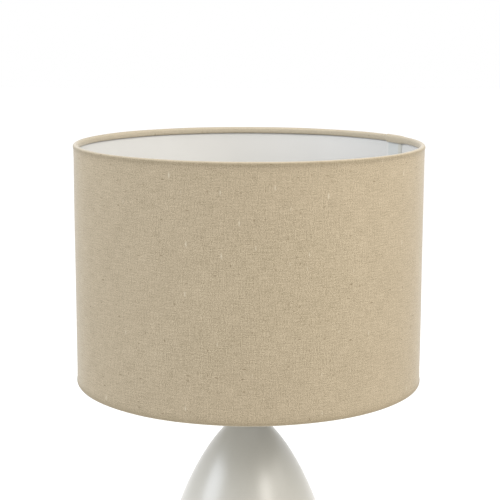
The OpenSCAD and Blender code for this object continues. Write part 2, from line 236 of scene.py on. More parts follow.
# %% Linen
def linen():
    """Tone from the threads' noise and from the weave, sin(x) times sin(y), then the painted light and shade at
    the edges, and flecks.
    """
    material, shader = new_finish("linen, plain weave", Roughness=0.92, Specular_IOR_Level=0.2,
                                  Sheen_Weight=0.35, Sheen_Roughness=0.3)
    tree = material.node_tree
    cloth = add(tree, "ShaderNodeUVMap", {}, uv_map="cloth").outputs[0]
    warp = grain(tree, cloth, (1.1 * THREAD_MM, 11, 1), 2, "2D")
    weft = grain(tree, cloth, (13, 1.1 * THREAD_MM, 1), 2, "2D")
    crossing = grain(tree, cloth, (THREAD_MM, THREAD_MM, 1), 1, "2D")
    dye = grain(tree, cloth, (30, 45, 1), 2, "2D")

    # over and under: the product of one wave along the weft and one along the warp
    turns = add(tree, "ShaderNodeVectorMath", {0: cloth, 1: (math.pi / (THREAD_MM * MM),) * 3},
                operation="MULTIPLY").outputs[0]
    waves = add(tree, "ShaderNodeVectorMath", {0: turns}, operation="SINE").outputs[0]
    axes = add(tree, "ShaderNodeSeparateXYZ", {0: waves})
    weave = add(tree, "ShaderNodeMath", {0: axes.outputs[0], 1: axes.outputs[1]},
                operation="MULTIPLY").outputs[0]
    over = add(tree, "ShaderNodeMath", {0: weave, 1: 0.5, 2: 0.5}, operation="MULTIPLY_ADD").outputs[0]

    tone = weighed(tree, 0.5, (warp, 0.6), (weft, 0.6), (crossing, 1.7), (dye, 0.15), (over, 0.2))
    colour = add(tree, "ShaderNodeMix", {0: tone, 6: DARK_YARN, 7: PALE_YARN}, data_type="RGBA").outputs[2]
    # paint light on the fold and shade below it into the colour
    for layer, tint in (("fold", KNOT_AND_FOLD_LIGHT), ("painted_edge_shade", PAINTED_SHADE_TINT)):
        share = add(tree, "ShaderNodeAttribute", {}, attribute_name=layer).outputs["Fac"]
        colour = add(tree, "ShaderNodeMix", {0: share, 6: colour, 7: tint}, data_type="RGBA").outputs[2]
    for fleck, cell_mm, largest in CAUGHT:
        colour = with_flecks(tree, cloth, colour, fleck, cell_mm, largest)
    height = weighed(tree, 0.5, (weft, 0.6), (warp, 0.4), (crossing, 0.5), (over, 0.3))
    bump = add(tree, "ShaderNodeBump", {"Height": height, "Distance": RELIEF_MM * MM})
    tree.links.new(colour, shader.inputs["Base Color"])
    tree.links.new(bump.outputs[0], shader.inputs["Normal"])
    return material


LINEN = linen()
print("linen:", len(LINEN.node_tree.nodes), "nodes")

# %% [markdown]
# ## Styrene
#
# The liner is a sheet of white styrene, extruded and slightly satin. It has no grain to speak of, only a very
# faint unevenness, so broad and weak noise is enough. Where its ends overlap, the sheet is painted a little
# greyer, painted shade for the light that the two layers hold back, and beside the cut edge a narrower stripe
# is painted darker and warmer. The stripes could be a mask painted on the sheet, but they run straight up it,
# so a comparison with the distance along the sheet draws them exactly.

# %% Styrene
# where the sheet's ends overlap, and how wide the darker stripe beside the cut edge is, in degrees round the
# drum
SEAM_START, SEAM_END = 22.6, 31.0
EDGE_STRIPE_WIDE = 2.2


def styrene():
    """A faint cloud, and a tint where the distance along the sheet is within half a stripe of its middle."""
    material, shader = new_finish("styrene sheet, white satin", Roughness=0.42, Specular_IOR_Level=0.45)
    tree = material.node_tree
    sheet_map = add(tree, "ShaderNodeUVMap", {}, uv_map="cloth").outputs[0]
    along = add(tree, "ShaderNodeSeparateXYZ", {0: sheet_map}).outputs[0]
    cloud = weighed(tree, 0.5, (grain(tree, sheet_map, (60, 90, 1), 2, "2D"), 0.8))
    colour = add(tree, "ShaderNodeMix", {0: cloud, 6: linear("#BAB9B6"), 7: linear("#C1C0BD")},
                 data_type="RGBA").outputs[2]
    # over the whole overlap a greyer tint, painted shade for the light that two layers hold back; beside the
    # cut edge a darker, warmer stripe
    for stripe_end, tint in ((SEAM_END, "#B5B7B5"), (SEAM_START + EDGE_STRIPE_WIDE, "#B1B0A8")):
        middle = math.radians((SEAM_START + stripe_end) / 2) * SHADE_R * MM
        half_width = math.radians((stripe_end - SEAM_START) / 2) * SHADE_R * MM
        inside = add(tree, "ShaderNodeMath", {0: along, 1: middle, 2: half_width}, operation="COMPARE")
        colour = add(tree, "ShaderNodeMix", {0: inside.outputs[0], 6: colour, 7: linear(tint)},
                     data_type="RGBA").outputs[2]
    waviness = grain(tree, sheet_map, (25, 40, 1), 1, "2D")
    bump = add(tree, "ShaderNodeBump", {"Height": waviness, "Distance": 0.12 * MM})
    tree.links.new(colour, shader.inputs["Base Color"])
    tree.links.new(bump.outputs[0], shader.inputs["Normal"])
    return material


STYRENE = styrene()
print("styrene:", len(STYRENE.node_tree.nodes), "nodes")

# %% [markdown]
# ## Glazed ceramic
#
# The body is slip-cast stoneware with a pale satin glaze. A satin glaze has fine crystals in it, which blur
# its reflections, over a surface that pulled itself nearly flat in the kiln. So the roughness is middling and
# uneven, a thin clearer coat lies over it, and the bump is a shallow orange peel of a few millimetres. One
# rough layer alone would lose the soft bright line that a window leaves down it.


# %% Glaze
def glaze():
    """Colour from how the glaze pooled and from its crystals, both as noise; the bump is mostly the peel."""
    material, shader = new_finish("satin glaze on stoneware", Roughness=0.4, Specular_IOR_Level=0.5,
                                  Coat_Weight=1.0, Coat_Roughness=0.3)
    tree = material.node_tree
    place = add(tree, "ShaderNodeTexCoord", {}).outputs["Object"]
    pooled = grain(tree, place, (70, 70, 45), 3)
    crystals = grain(tree, place, (1.6, 1.6, 1.6), 3)
    peel = grain(tree, place, (5, 5, 5), 2)
    tone = weighed(tree, 0.5, (pooled, 0.9), (crystals, 0.5))
    colour = add(tree, "ShaderNodeMix", {0: tone, 6: linear("#9B988E"), 7: linear("#A5A299")},
                 data_type="RGBA")
    height = weighed(tree, 0.5, (peel, 0.7), (crystals, 0.3))
    bump = add(tree, "ShaderNodeBump", {"Height": height, "Distance": 0.05 * MM})
    tree.links.new(colour.outputs[2], shader.inputs["Base Color"])
    tree.links.new(weighed(tree, 0.4, (pooled, 0.1), (crystals, 0.1)), shader.inputs["Roughness"])
    tree.links.new(bump.outputs[0], shader.inputs["Normal"])
    return material


GLAZE = glaze()
print("glaze:", len(GLAZE.node_tree.nodes), "nodes")

# %% [markdown]
# ## Small finishes
#
# The neck is brass turned on a lathe and plated in satin nickel, so its reflections are drawn out round it by
# fine tool lines. An anisotropic shader could fake those without any lines. Real ones, a third of a millimetre
# apart and as noise that is very long round the part, also show close up.


# %% Metals
def turned_metal(name, pale, dark, roughness):
    """Metal off a lathe: tool lines a third of a millimetre apart run round the part."""
    material, shader = new_finish(name, Metallic=1.0, Roughness=roughness)
    tree = material.node_tree
    place = add(tree, "ShaderNodeTexCoord", {}).outputs["Object"]
    lines = grain(tree, place, (400, 400, 0.33), 2)
    breath = grain(tree, place, (14, 14, 14), 2)
    tone = weighed(tree, 0.5, (lines, 0.8), (breath, 0.6))
    colour = add(tree, "ShaderNodeMix", {0: tone, 6: linear(dark), 7: linear(pale)}, data_type="RGBA")
    bump = add(tree, "ShaderNodeBump", {"Height": lines, "Distance": 0.02 * MM})
    tree.links.new(colour.outputs[2], shader.inputs["Base Color"])
    tree.links.new(weighed(tree, roughness, (breath, 0.16), (lines, 0.12)), shader.inputs["Roughness"])
    tree.links.new(bump.outputs[0], shader.inputs["Normal"])
    return material


# warm grey, and soft enough to blur the room
SATIN_NICKEL = turned_metal("satin nickel plate on turned brass", "#C9C5BC", "#B3AFA5", 0.3)
# yellow and bare, as the contacts are
BRASS = turned_metal("brass, pressed", "#D4B56A", "#B8923F", 0.27)
# bluish and a little dull
ZINC_STEEL = turned_metal("zinc-plated steel", "#BCC0C2", "#9FA4A8", 0.36)
# thin and bright, straight from the roller
CAP_NICKEL = turned_metal("nickel-plated cap", "#C4C4C0", "#A9A9A5", 0.24)
print("metals: 4 finishes")

# %% [markdown]
# The rest is coated, moulded, fired or pressed. Each of these surfaces has one grain that shows how it was
# made, so one function makes them all, and only the grain's size and depth and the gloss differ. The whites
# are a little greyer than life, so that their edges show against a white room. Grains finer than half a
# millimetre are drawn at least that coarse, or they wouldn't show.


# %% Coated, moulded and fired surfaces
def grained(name, pale, dark, roughness, grain_mm, depth_mm, **numbers):
    """A surface with one grain: it moves the colour a little, the roughness more, and stands up as bump."""
    material, shader = new_finish(name, Roughness=roughness, **numbers)
    tree = material.node_tree
    place = add(tree, "ShaderNodeTexCoord", {}).outputs["Object"]
    fine = grain(tree, place, (grain_mm,) * 3, 3)
    broad = grain(tree, place, (20 * grain_mm,) * 3, 2)
    tone = weighed(tree, 0.5, (fine, 0.8), (broad, 0.9))
    colour = add(tree, "ShaderNodeMix", {0: tone, 6: linear(dark), 7: linear(pale)}, data_type="RGBA")
    bump = add(tree, "ShaderNodeBump", {"Height": fine, "Distance": depth_mm * MM})
    tree.links.new(colour.outputs[2], shader.inputs["Base Color"])
    tree.links.new(weighed(tree, roughness, (fine, 0.1), (broad, 0.1)), shader.inputs["Roughness"])
    tree.links.new(bump.outputs[0], shader.inputs["Normal"])
    return material


# powder melted on the wire: a soft orange peel
POWDER_COAT = grained("powder coat, white", "#D2D2CE", "#C6C6C2", 0.42, 1.0, 0.05)
# from a polished mould: hard and rather glossy, with hardly any grain
UREA = grained("urea plastic, moulded white", "#D0CFCA", "#C5C4BE", 0.3, 0.8, 0.015)
# fired without a glaze: chalky
PORCELAIN = grained("porcelain, unglazed", "#CFCDC6", "#C2C0B8", 0.6, 0.9, 0.03)
# soft and a little greasy
SOFT_PVC = grained("soft vinyl, off-white", "#CFCCC3", "#C1BEB5", 0.5, 0.9, 0.03)
# moulded satin, so that fingers leave no marks
POLYCARBONATE = grained("polycarbonate, white satin", "#CBCBC8", "#C0C0BD", 0.34, 0.9, 0.012)
# milky all through, with a clearer skin
OPAL = grained("opal polycarbonate", "#C9C6BC", "#BEBBB0", 0.38, 1.2, 0.01, Coat_Weight=0.3,
               Coat_Roughness=0.2)
# melted round the contact: the glossiest surface on the lamp
CAP_GLASS = grained("black cap glass", "#1E1E20", "#121214", 0.12, 1.5, 0.02)
# wood fibre pressed dry: brown and mottled
HARDBOARD = grained("hardboard", "#9A7650", "#7C5B39", 0.8, 0.7, 0.06)
# a thin printed lacquer
SOLDER_MASK = grained("white solder mask", "#D0D0CA", "#C4C4BC", 0.4, 0.8, 0.01)
# loose wool that catches light at its edge
FELT = grained("pressed felt, dark grey", "#4A4947", "#2C2B2A", 0.97, 0.5, 0.25, Sheen_Weight=0.6,
               Sheen_Roughness=0.5)
print("finishes in all:", len(bpy.data.materials))

# %% [markdown]
# ## Grids, pieces and turning
#
# A surface is a grid of points worked out in one go, and its faces are the grid's squares. Joining Blender's
# own cylinders and cones would be quicker for one part, but their joints would show. `piece` puts points and
# faces into a mesh and hides the parts of the frame that it stands for. The frame's record knows which body and
# which material slot each part belongs to, and `piece` looks up the body.

# %% From arrays to a piece
MERGE_MM = 0.002
SHARP_DEGREES = 38
record = frame["record"]
BODY_OF = {node: body for body, nodes in record["behaviour"]["bodies"].items() for node in nodes}


def grid_faces(rows, columns, close_rows, close_columns):
    """The squares of a grid of points, as point numbers; a closed side joins its last line to its first."""
    row = np.arange(rows if close_rows else rows - 1)[:, None]
    column = np.arange(columns if close_columns else columns - 1)[None, :]
    next_row, next_column = (row + 1) % rows, (column + 1) % columns
    corners = [row * columns + column, next_row * columns + column,
               next_row * columns + next_column, row * columns + next_column]
    return np.stack(corners, -1).reshape(-1, 4)


def piece(name, points, faces, finish, nodes, closed=True):
    """A piece in place of some nodes. On a closed form doubled points are merged and faces turned outwards."""
    mesh = bpy.data.meshes.new(name)
    mesh.from_pydata((points * MM).tolist(), [], faces.tolist())
    if closed:
        form = bmesh.new()
        form.from_mesh(mesh)
        bmesh.ops.remove_doubles(form, verts=form.verts, dist=MERGE_MM * MM)
        bmesh.ops.recalc_face_normals(form, faces=form.faces)
        form.to_mesh(mesh)
        form.free()
    mesh.shade_smooth()
    mesh.set_sharp_from_angle(angle=math.radians(SHARP_DEGREES))
    mesh.materials.append(finish)
    made = bpy.data.objects.new(name, mesh)
    bpy.context.scene.collection.objects.link(made)
    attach(made, BODY_OF[nodes[0]])
    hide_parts(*nodes)
    return made


# %% [markdown]
# A turned piece starts as its outline, half of the section through it. Nothing real has a perfectly sharp
# corner, and it is the eased corners that catch the light. A Bevel modifier would ease them all alike, so here
# each corner of an outline is written as its radius, its height and how far from it the easing starts.


# %% Turning an outline
def eased(corners, steps=6):
    """A closed outline. Each corner gives way to a quadratic curve between the points its cut away from it."""
    corners = np.asarray(corners, float)
    corner, cut = corners[:, None, :2], corners[:, None, 2:]

    def towards(other):
        side = other - corner
        return corner + cut * side / np.maximum(np.linalg.norm(side, axis=2, keepdims=True), 1e-9)

    start, end = towards(np.roll(corner, 1, 0)), towards(np.roll(corner, -1, 0))
    t = np.linspace(0, 1, steps)[None, :, None]
    line = ((1 - t) ** 2 * start + 2 * t * (1 - t) * corner + t ** 2 * end).reshape(-1, 2)
    return line[np.linalg.norm(line - np.roll(line, 1, 0), axis=1) > 1e-6]


def plain(line):
    """Corners that aren't eased, from a line of (radius, height) points."""
    return [(r, z, 0) for r, z in line]


def wall(r, z_from, z_to, count):
    """A straight wall with enough points on it to carry relief."""
    return [(r, z, 0) for z in np.linspace(z_from, z_to, count)]


def turned(name, finish, nodes, corners, relief=None, around=128):
    """x = r cos a, y = r sin a, z for each angle a and outline point (r, z). relief(a, r, z) is added to r."""
    line = eased(corners)
    angle = np.linspace(0, 2 * np.pi, around, endpoint=False)[:, None]
    radius, height = (np.repeat(line[None, :, i], around, 0) for i in (0, 1))
    if relief:
        radius = radius + relief(angle, radius, height)
    points = np.stack([radius * np.cos(angle), radius * np.sin(angle), height], -1)
    made = piece(name, points.reshape(-1, 3), grid_faces(*radius.shape, True, True), finish, nodes)
    print(f"{name}: {len(made.data.polygons)} faces")
    return made


square = [(10, 0, 1), (20, 0, 1), (20, 10, 1), (10, 10, 1)]
print(f"an outline of {len(square)} eased corners has {len(eased(square))} points")

# %% [markdown]
# ## Ceramic body
#
# The body is an egg: fullest below the middle, with a long taper to the mouth. Its outline is the half-width
# of an ellipse, the square root of (distance from one tip times distance from the other), multiplied by a
# factor that grows steadily downwards. A sphere pulled into shape by hand would come close, but a formula has
# no flat spots for the gloss to find. The body is hollow, with a ledge inside for the tension plate and an
# open foot that a disc closes.

# %% The egg
EGG_TIP, EGG_LENGTH, EGG_FULLNESS, EGG_DROOP = 215.9, 237.5, 0.1504, 0.01156


def egg(height):
    """The body's radius at a height: root of fullness x down x (length - down) x (1 + droop x down)."""
    down = EGG_TIP - np.asarray(height, float)
    return np.sqrt(EGG_FULLNESS * down * (EGG_LENGTH - down) * (1 + EGG_DROOP * down))


def egg_line(low, high, inset, count):
    """Points up the egg at high - (high - low) x s to the power 1.4, s from 1 to 0, so closest at the top."""
    height = high - (high - low) * np.linspace(1, 0, count) ** 1.4
    return np.stack([egg(height) - inset, height], 1)


print(f"body: {2 * egg(np.arange(EGG_LENGTH / 2)).max():.1f} mm across at its fullest")

# %% Body
WALL, MOUTH_T, LEDGE_T = 5.0, 8, 6
LEDGE_R, ROD_HOLE_R = 38, 5.4
FOOT_EDGE, LIP = 1.6, 1.2
disc_r, _, disc_top = extent("foot_disc")
ledge = extent("tension_plate")[2]
_, body_low, body_top = extent("ceramic_body")
outside = egg_line(body_low + FOOT_EDGE, body_top - LIP, 0, 110)
inside_up = egg_line(ledge + LEDGE_T, body_top - MOUTH_T, WALL, 40)[::-1]
inside_low = egg_line(disc_top, ledge, WALL, 12)[::-1]
turned("ceramic_body_glazed", GLAZE, ["ceramic_body"], [
    (disc_r, body_low, 0.4),
    (float(egg(body_low)) - 0.5, body_low, 1.2),
    *plain(outside),
    (float(egg(body_top)) - 0.6, body_top, 0.9),
    (ROD_HOLE_R, body_top, 0.3),
    (ROD_HOLE_R, body_top - MOUTH_T, 0.3),
    *plain(inside_up),
    (LEDGE_R, ledge + LEDGE_T, 1),
    (LEDGE_R, ledge, 1),
    *plain(inside_low),
    (disc_r, disc_top, 0.2),
], around=192)

# %% [markdown]
# ## Foot
#
# The felt pad is cut a little smaller than the foot, so only a thin dark line of it shows under the glaze. Its
# cut edge is fuzzy. Hair particles would be far too many for a line this thin, so two waves of different
# length, added to the radius, stand for the tufts.

# %% Felt pad
felt_r, felt_low, felt_top = extent("felt_pad")


def tufts(a, r, z):
    """A ragged rim: 0.12 sin(47a + 2z) + 0.1 sin(113a - 3z) mm, on its outermost millimetre."""
    return np.where(r > felt_r - 1, 0.12 * np.sin(47 * a + 2 * z) + 0.1 * np.sin(113 * a - 3 * z), 0)


turned("felt_pad_pressed", FELT, ["felt_pad"],
       [(0, felt_low, 0), (felt_r, felt_low, 0.5), (felt_r, felt_top, 0.4), (0, felt_top, 0)],
       relief=tufts, around=360)

# %% [markdown]
# ## Neck
#
# A turned cap sits on the mouth and a plated sleeve hides the nut above it. The cap has the small quirk and
# bead that a turner cuts to make an edge look finished. They are a few more corners in the same outline, which
# is also how the tool cuts them.

# %% Neck
BORE, SLEEVE_T = 5.3, 1.2
cap_r, cap_low, cap_top = extent("mouth_cap")
sleeve_r, sleeve_low, sleeve_top = extent("neck_sleeve")
turned("mouth_cap_turned", SATIN_NICKEL, ["mouth_cap"], [
    (BORE, cap_low, 0.2), (cap_r - 1.2, cap_low, 0.4), (cap_r, cap_low + 1, 0.6),
    # the bead, and the quirk above it
    (cap_r, cap_low + 2.4, 0.5), (cap_r - 1, cap_low + 2.9, 0.2), (cap_r - 1.2, cap_low + 2.9, 0.2),
    (sleeve_r + 1.8, cap_top - 0.7, 0.6), (sleeve_r + 0.6, cap_top, 0.4), (BORE, cap_top, 0.2),
])
turned("neck_sleeve_plated", SATIN_NICKEL, ["neck_sleeve"], [
    (sleeve_r - SLEEVE_T, sleeve_low, 0.2), (sleeve_r, sleeve_low, 0.4),
    (sleeve_r, sleeve_top, 0.5), (sleeve_r - SLEEVE_T, sleeve_top, 0.2),
])

# %% [markdown]
# ## Lampholder
#
# The holder is three mouldings. The cap screws onto the rod and has ribs for the fingers. The core carries the
# contacts. The skirt screws down over the core, and a coarse thread on its outside takes the shade ring. Ribs
# and threads could be cut out with booleans, which are slow and leave ragged faces. Moving the radius of the
# grid's own points in and out gives clean ones.

# %% Holder cap and core
RIBS, RIB_DEPTH = 52, 0.35
holder_r, holder_low, cap_rim = extent("holder_cap")
core_r, core_low, core_top = extent("holder_core")
ribs_low, ribs_top = holder_low + 15.5, cap_rim - 2


def finger_ribs(a, r, z):
    """Depth x (half of 1 - cos(ribs x a)) squared, over the straight part of the cap."""
    straight = (r > holder_r - 0.1) & (z > ribs_low) & (z < ribs_top)
    return np.where(straight, -RIB_DEPTH * (0.5 - 0.5 * np.cos(RIBS * a)) ** 2, 0)


turned("holder_cap_moulded", UREA, ["holder_cap"], [
    # up the outside: neck, shoulder, ribbed wall, rim
    (5, holder_low, 0.2), (12.5, holder_low, 0.8), (12.5, holder_low + 2, 0.8),
    (holder_r, holder_low + 13, 2.5), (holder_r, ribs_low - 0.1, 0),
    *wall(holder_r, ribs_low + 0.1, ribs_top - 0.1, 3),
    (holder_r, ribs_top + 0.1, 0), (holder_r, cap_rim, 0.5),
    # down the inside: wall, floor, and the boss that the rod screws into
    (holder_r - 2, cap_rim, 0.3), (holder_r - 2, holder_low + 14, 1), (11.6, holder_low + 4.5, 0.4),
    (8.5, holder_low + 4.5, 0.4), (8.5, holder_low + 12, 0.4), (5, holder_low + 12, 0.2),
], relief=finger_ribs, around=8 * RIBS)
turned("holder_core_fired", PORCELAIN, ["holder_core"], [
    (0, core_low, 0), (11.5, core_low, 0.5), (11.5, core_low + 3, 0.2), (core_r, core_low + 3, 0.5),
    (core_r, core_top - 4, 0.4), (14.6, core_top - 4, 0.2), (14.6, core_top, 0.5), (0, core_top, 0),
])

# %% [markdown]
# A thread is a groove whose height goes up by one pitch in each turn, so its relief is a wave in
# height / pitch - angle / turn. It fades out at both ends, as a moulded or rolled thread does.


# %% Threads
def smooth(x, start, end):
    """0 before start, 1 after end, and 3 s squared - 2 s cubed between, s being how far x has got."""
    share = np.clip((x - start) / (end - start), 0, 1)
    return share * share * (3 - 2 * share)


def fade(z, low, high, run):
    """1 between two heights, falling smoothly to 0 over run at each end."""
    return smooth(np.minimum(z - low, high - z), 0, run)


def thread(a, z, pitch):
    """Half of 1 - cos(turn x z / pitch - a): 0 on the crest of a right-handed thread and 1 in its groove."""
    return 0.5 - 0.5 * np.cos(2 * np.pi * z / pitch - a)


# %% Skirt and screw shell
flange_r, skirt_low, skirt_top = extent("holder_skirt")
SEAT = skirt_low + 3
SKIRT_R, SKIRT_HOLE_R = 19.6, 14.2
SKIRT_PITCH, SKIRT_DEPTH = 2.5, 0.7
E27_PITCH, E27_DEPTH, E27_FROM_R = 3.63, 0.85, 12.3
SHELL_T = 0.6
shell_r, shell_low, shell_top = extent("screw_shell")


def skirt_thread(a, r, z):
    """A thread with flat crests, because its wave is clipped, over the upper part of the skirt."""
    groove = np.clip(1.5 * thread(a, z, SKIRT_PITCH) - 0.35, 0, 1)
    return np.where(r > SKIRT_R - 0.1, -SKIRT_DEPTH * groove * fade(z, SEAT + 2.5, skirt_top - 1.5, 1.2), 0)


turned("holder_skirt_moulded", UREA, ["holder_skirt"], [
    (15, skirt_low, 0.3), (flange_r, skirt_low, 0.6), (flange_r, SEAT, 0.5), (SKIRT_R, SEAT, 0.2),
    *wall(SKIRT_R, SEAT + 1, skirt_top - 1, 120), (SKIRT_R, skirt_top, 0.6),
    (SKIRT_HOLE_R, skirt_top, 0.4), (SKIRT_HOLE_R, skirt_top - 1, 0.2), (15, skirt_top - 1.4, 0.2),
], relief=skirt_thread, around=144)


def rolled_thread(low, high):
    """The relief of the round thread that is rolled into thin metal between two heights."""
    def relief(a, r, z):
        groove = E27_DEPTH * thread(a, z, E27_PITCH) * fade(z, low, high, 1.8)
        return np.where(r > E27_FROM_R, -groove, 0)
    return relief


turned("screw_shell_rolled", BRASS, ["screw_shell"], [
    (10, shell_low, 0.1), (shell_r, shell_low, 0.3), *wall(shell_r, shell_low + 1, shell_top - 0.4, 90),
    (shell_r, shell_top, 0.2), (shell_r - SHELL_T, shell_top, 0.2),
    *wall(shell_r - SHELL_T, shell_top - 0.4, shell_low + 1, 90),
    (shell_r - SHELL_T, shell_low + SHELL_T, 0.2), (10, shell_low + SHELL_T, 0.1),
], relief=rolled_thread(shell_low + 5, shell_top - 0.5))

# %% [markdown]
# ## Shade ring and fitter ring
#
# The ring screws down the skirt and clamps the shade's fitter ring on the holder's flange. Scallops round its
# hub give the fingers a grip. A cosine raised to a power makes narrow hollows with broad lands between them.

# %% Rings
ring_r, ring_low, ring_top = extent("shade_ring")
fitter_r, fitter_low, fitter_top = extent("fitter_ring")
FITTER_HOLE_R = 21
HUB_R = SKIRT_R + 3.4
SCALLOPS, SCALLOP_DEPTH = 18, 0.9


def scallops(a, r, z):
    """Depth x (half of 1 + cos(scallops x a)) cubed, round the hub above the flange."""
    on_hub = (np.abs(r - HUB_R) < 0.6) & (z > ring_low + 2.2)
    return np.where(on_hub, -SCALLOP_DEPTH * (0.5 + 0.5 * np.cos(SCALLOPS * a)) ** 3, 0)


turned("shade_ring_moulded", UREA, ["shade_ring"], [
    (SKIRT_R + 0.08, ring_low, 0.3), (ring_r, ring_low, 0.5), (ring_r, ring_low + 2, 0.7),
    (HUB_R + 0.9, ring_low + 2, 0.8), *wall(HUB_R, ring_low + 2.8, ring_top - 0.9, 8), (HUB_R, ring_top, 0.7),
    (SKIRT_R + 0.08, ring_top, 0.5),
], relief=scallops, around=16 * SCALLOPS)
turned("fitter_ring_pressed", POWDER_COAT, ["fitter_ring"], [
    (FITTER_HOLE_R, fitter_low, 0.3), (fitter_r, fitter_low, 0.3),
    (fitter_r, fitter_top, 0.5), (FITTER_HOLE_R, fitter_top, 0.5),
])

# %% [markdown]
# ## Bulb
#
# An ordinary LED bulb: a nickel-plated cap with a rolled thread, black glass round the contact, a white
# housing that swells from the cap to the globe, and an opal globe that spreads the light. It could be one
# turned form with three colours, but the real one is put together from parts, and the fine gaps between them
# show. The housing's outline is half a cosine wave, so it leaves the cap and meets the globe upright.

# %% Bulb cap
CAP_T = 0.4
thread_r, thread_low, thread_top = extent("bulb_cap")
glass_r, glass_low, glass_top = extent("bulb_insulator")
tip_r, tip_low, tip_top = extent("bulb_contact")
turned("bulb_cap_rolled", CAP_NICKEL, ["bulb_cap"], [
    (thread_r - CAP_T, thread_low, 0.1), (thread_r, thread_low, 0.2),
    *wall(thread_r, thread_low + 0.6, thread_top - 0.6, 90), (thread_r, thread_top, 0.2),
    (thread_r - CAP_T, thread_top, 0.1), *wall(thread_r - CAP_T, thread_top - 0.6, thread_low + 0.6, 90),
], relief=rolled_thread(thread_low + 0.5, thread_top - 1.5))
turned("bulb_cap_glass", CAP_GLASS, ["bulb_insulator"], [
    (0, glass_low, 0), (tip_r, glass_low, 0.2), (tip_r + 1.4, glass_low + 0.4, 0.8),
    (glass_r, glass_top, 0.3), (0, glass_top, 0),
])
turned("bulb_contact_tip", BRASS, ["bulb_contact"], [
    (0, tip_low, 0), (tip_r - 1, tip_low, 0.8), (tip_r, tip_top, 0.2), (0, tip_top, 0),
])

# %% Bulb housing and globe
GLOBE_WALL = 1.2
globe_r, globe_low, globe_top = extent("bulb_globe")
globe_mid = globe_top - globe_r


def housing_line(low, high, from_r, to_r, count=40):
    """Radius from + (to - from) x half of 1 - cos(pi s), at the height low + (high - low) x s to the 0.9."""
    share = np.linspace(0, 1, count)
    radius = from_r + (to_r - from_r) * (1 - np.cos(np.pi * share)) / 2
    return np.stack([radius, low + (high - low) * share ** 0.9], 1)


def globe_line(radius, count=60):
    """An arc of the globe from the height of its cut edge up to the crown."""
    angle = np.linspace(math.asin((globe_low - globe_mid) / radius), math.pi / 2, count)
    return np.stack([radius * np.cos(angle), globe_mid + radius * np.sin(angle)], 1)


edge_r = math.sqrt(globe_r ** 2 - (globe_low - globe_mid) ** 2)
plug_r = thread_r - 0.45 - E27_DEPTH
housing_side = housing_line(thread_top, globe_low, thread_r + 0.4, edge_r)
turned("bulb_housing_moulded", POLYCARBONATE, ["bulb_housing"], [
    (0, thread_low + 2, 0), (plug_r, thread_low + 2, 0.3), (plug_r, thread_top - 0.3, 0),
    (thread_r + 0.3, thread_top, 0.3), *plain(housing_side[2:]), (0, globe_low, 0),
])
turned("bulb_globe_opal", OPAL, ["bulb_globe"], [
    *plain(globe_line(globe_r)), *plain(globe_line(globe_r - GLOBE_WALL)[::-1]),
])

# %% [markdown]
# ## Drum shade
#
# The shade is made flat. The linen is laid on the styrene, the pair is rolled into a drum, and the linen's
# spare edge is rolled over each wire hoop and tucked in. So the cloth is one sheet that runs from inside the
# lower hoop, under it, up the outside, over the upper hoop and down inside again, and its two ends overlap at
# the seam, at the back. A cylinder with rings stuck on would show joints that the real one doesn't have.
#
# `rolled_sheet` takes the section as a line of points, with the visible face on its left as it runs, and
# carries it round from one angle to another. The end that lies over the start is lifted along the line's own
# normal. The Solidify modifier then gives the sheet its thickness, away from the visible face.


# %% Rolling a sheet into a drum
def rolled_sheet(name, finish, nodes, line, angles, lift, thickness):
    """Point (angle a, line point p) is p moved along the line's normal by lift(a, distance), turned by a."""
    step = np.gradient(line, axis=0)
    tangent = step / np.linalg.norm(step, axis=1, keepdims=True)
    normal = np.stack([tangent[:, 1], -tangent[:, 0]], 1)
    distance = np.concatenate([[0], np.cumsum(np.linalg.norm(np.diff(line, axis=0), axis=1))])
    a = np.radians(angles)[:, None]
    moved = lift(angles[:, None], distance[None, :])
    radius = line[None, :, 0] + normal[None, :, 0] * moved
    height = line[None, :, 1] + normal[None, :, 1] * moved
    points = np.stack([radius * np.cos(a), radius * np.sin(a), height], -1).reshape(-1, 3)
    faces = grid_faces(len(angles), len(line), False, False)
    made = piece(name, points, faces, finish, nodes, closed=False)
    along = np.broadcast_to(a * SHADE_R, radius.shape)
    cloth = np.stack([along, np.broadcast_to(distance[None, :], radius.shape)], -1).reshape(-1, 2) * MM
    layer = made.data.uv_layers.new(name="cloth")
    layer.data.foreach_set("uv", cloth[faces.ravel()].astype(np.float32).ravel())
    thicken = made.modifiers.new("thickness", "SOLIDIFY")
    thicken.thickness = thickness * MM
    thicken.offset = -1
    print(f"{name}: {distance[-1]:.0f} mm up the sheet, {float(np.ptp(along)):.0f} mm round it")
    return made


# %% The linen's section
CLOTH_T = 0.55
ROLL_ACROSS, ROLL_UP = 4.6, 4.0
# how far in from the drum's radius and from its edge the tucked tail lies; the last point is the cut edge
TAIL = np.array([(4.4, 3), (4.1, 4.2), (3.6, 5.2), (2.9, 5.9)])


def roll_over(edge, side):
    """Half an ellipse round a hoop, from the outside inwards, and then the tail; side is 1 at the top."""
    turn = np.radians(np.linspace(0, 180, 24))
    middle = SHADE_R - ROLL_ACROSS / 2
    arc = np.stack([middle + ROLL_ACROSS / 2 * np.cos(turn),
                    edge - side * ROLL_UP / 2 + side * ROLL_UP / 2 * np.sin(turn)], 1)
    tail = np.stack([SHADE_R - TAIL[:, 0], edge - side * TAIL[:, 1]], 1)
    return np.concatenate([arc, tail])


def up_the_outside(count=60):
    """The drum's wall, from one roll to the other: its radius less two smooth steps. It draws in by 0.42 mm
    below the roll, and by 0.1 mm where the tucked edge behind it ends."""
    share = np.linspace(-1, 1, count)
    half_height = (SHADE_TOP - SHADE_LOW - ROLL_UP) / 2 - 0.4
    z = (SHADE_TOP + SHADE_LOW) / 2 + half_height * np.sin(share * math.pi / 2)
    from_edge = np.minimum(z - SHADE_LOW, SHADE_TOP - z)
    return np.stack([SHADE_R - 0.42 * smooth(from_edge, 2.2, 4.4) - 0.1 * smooth(from_edge, 9.5, 12), z], 1)


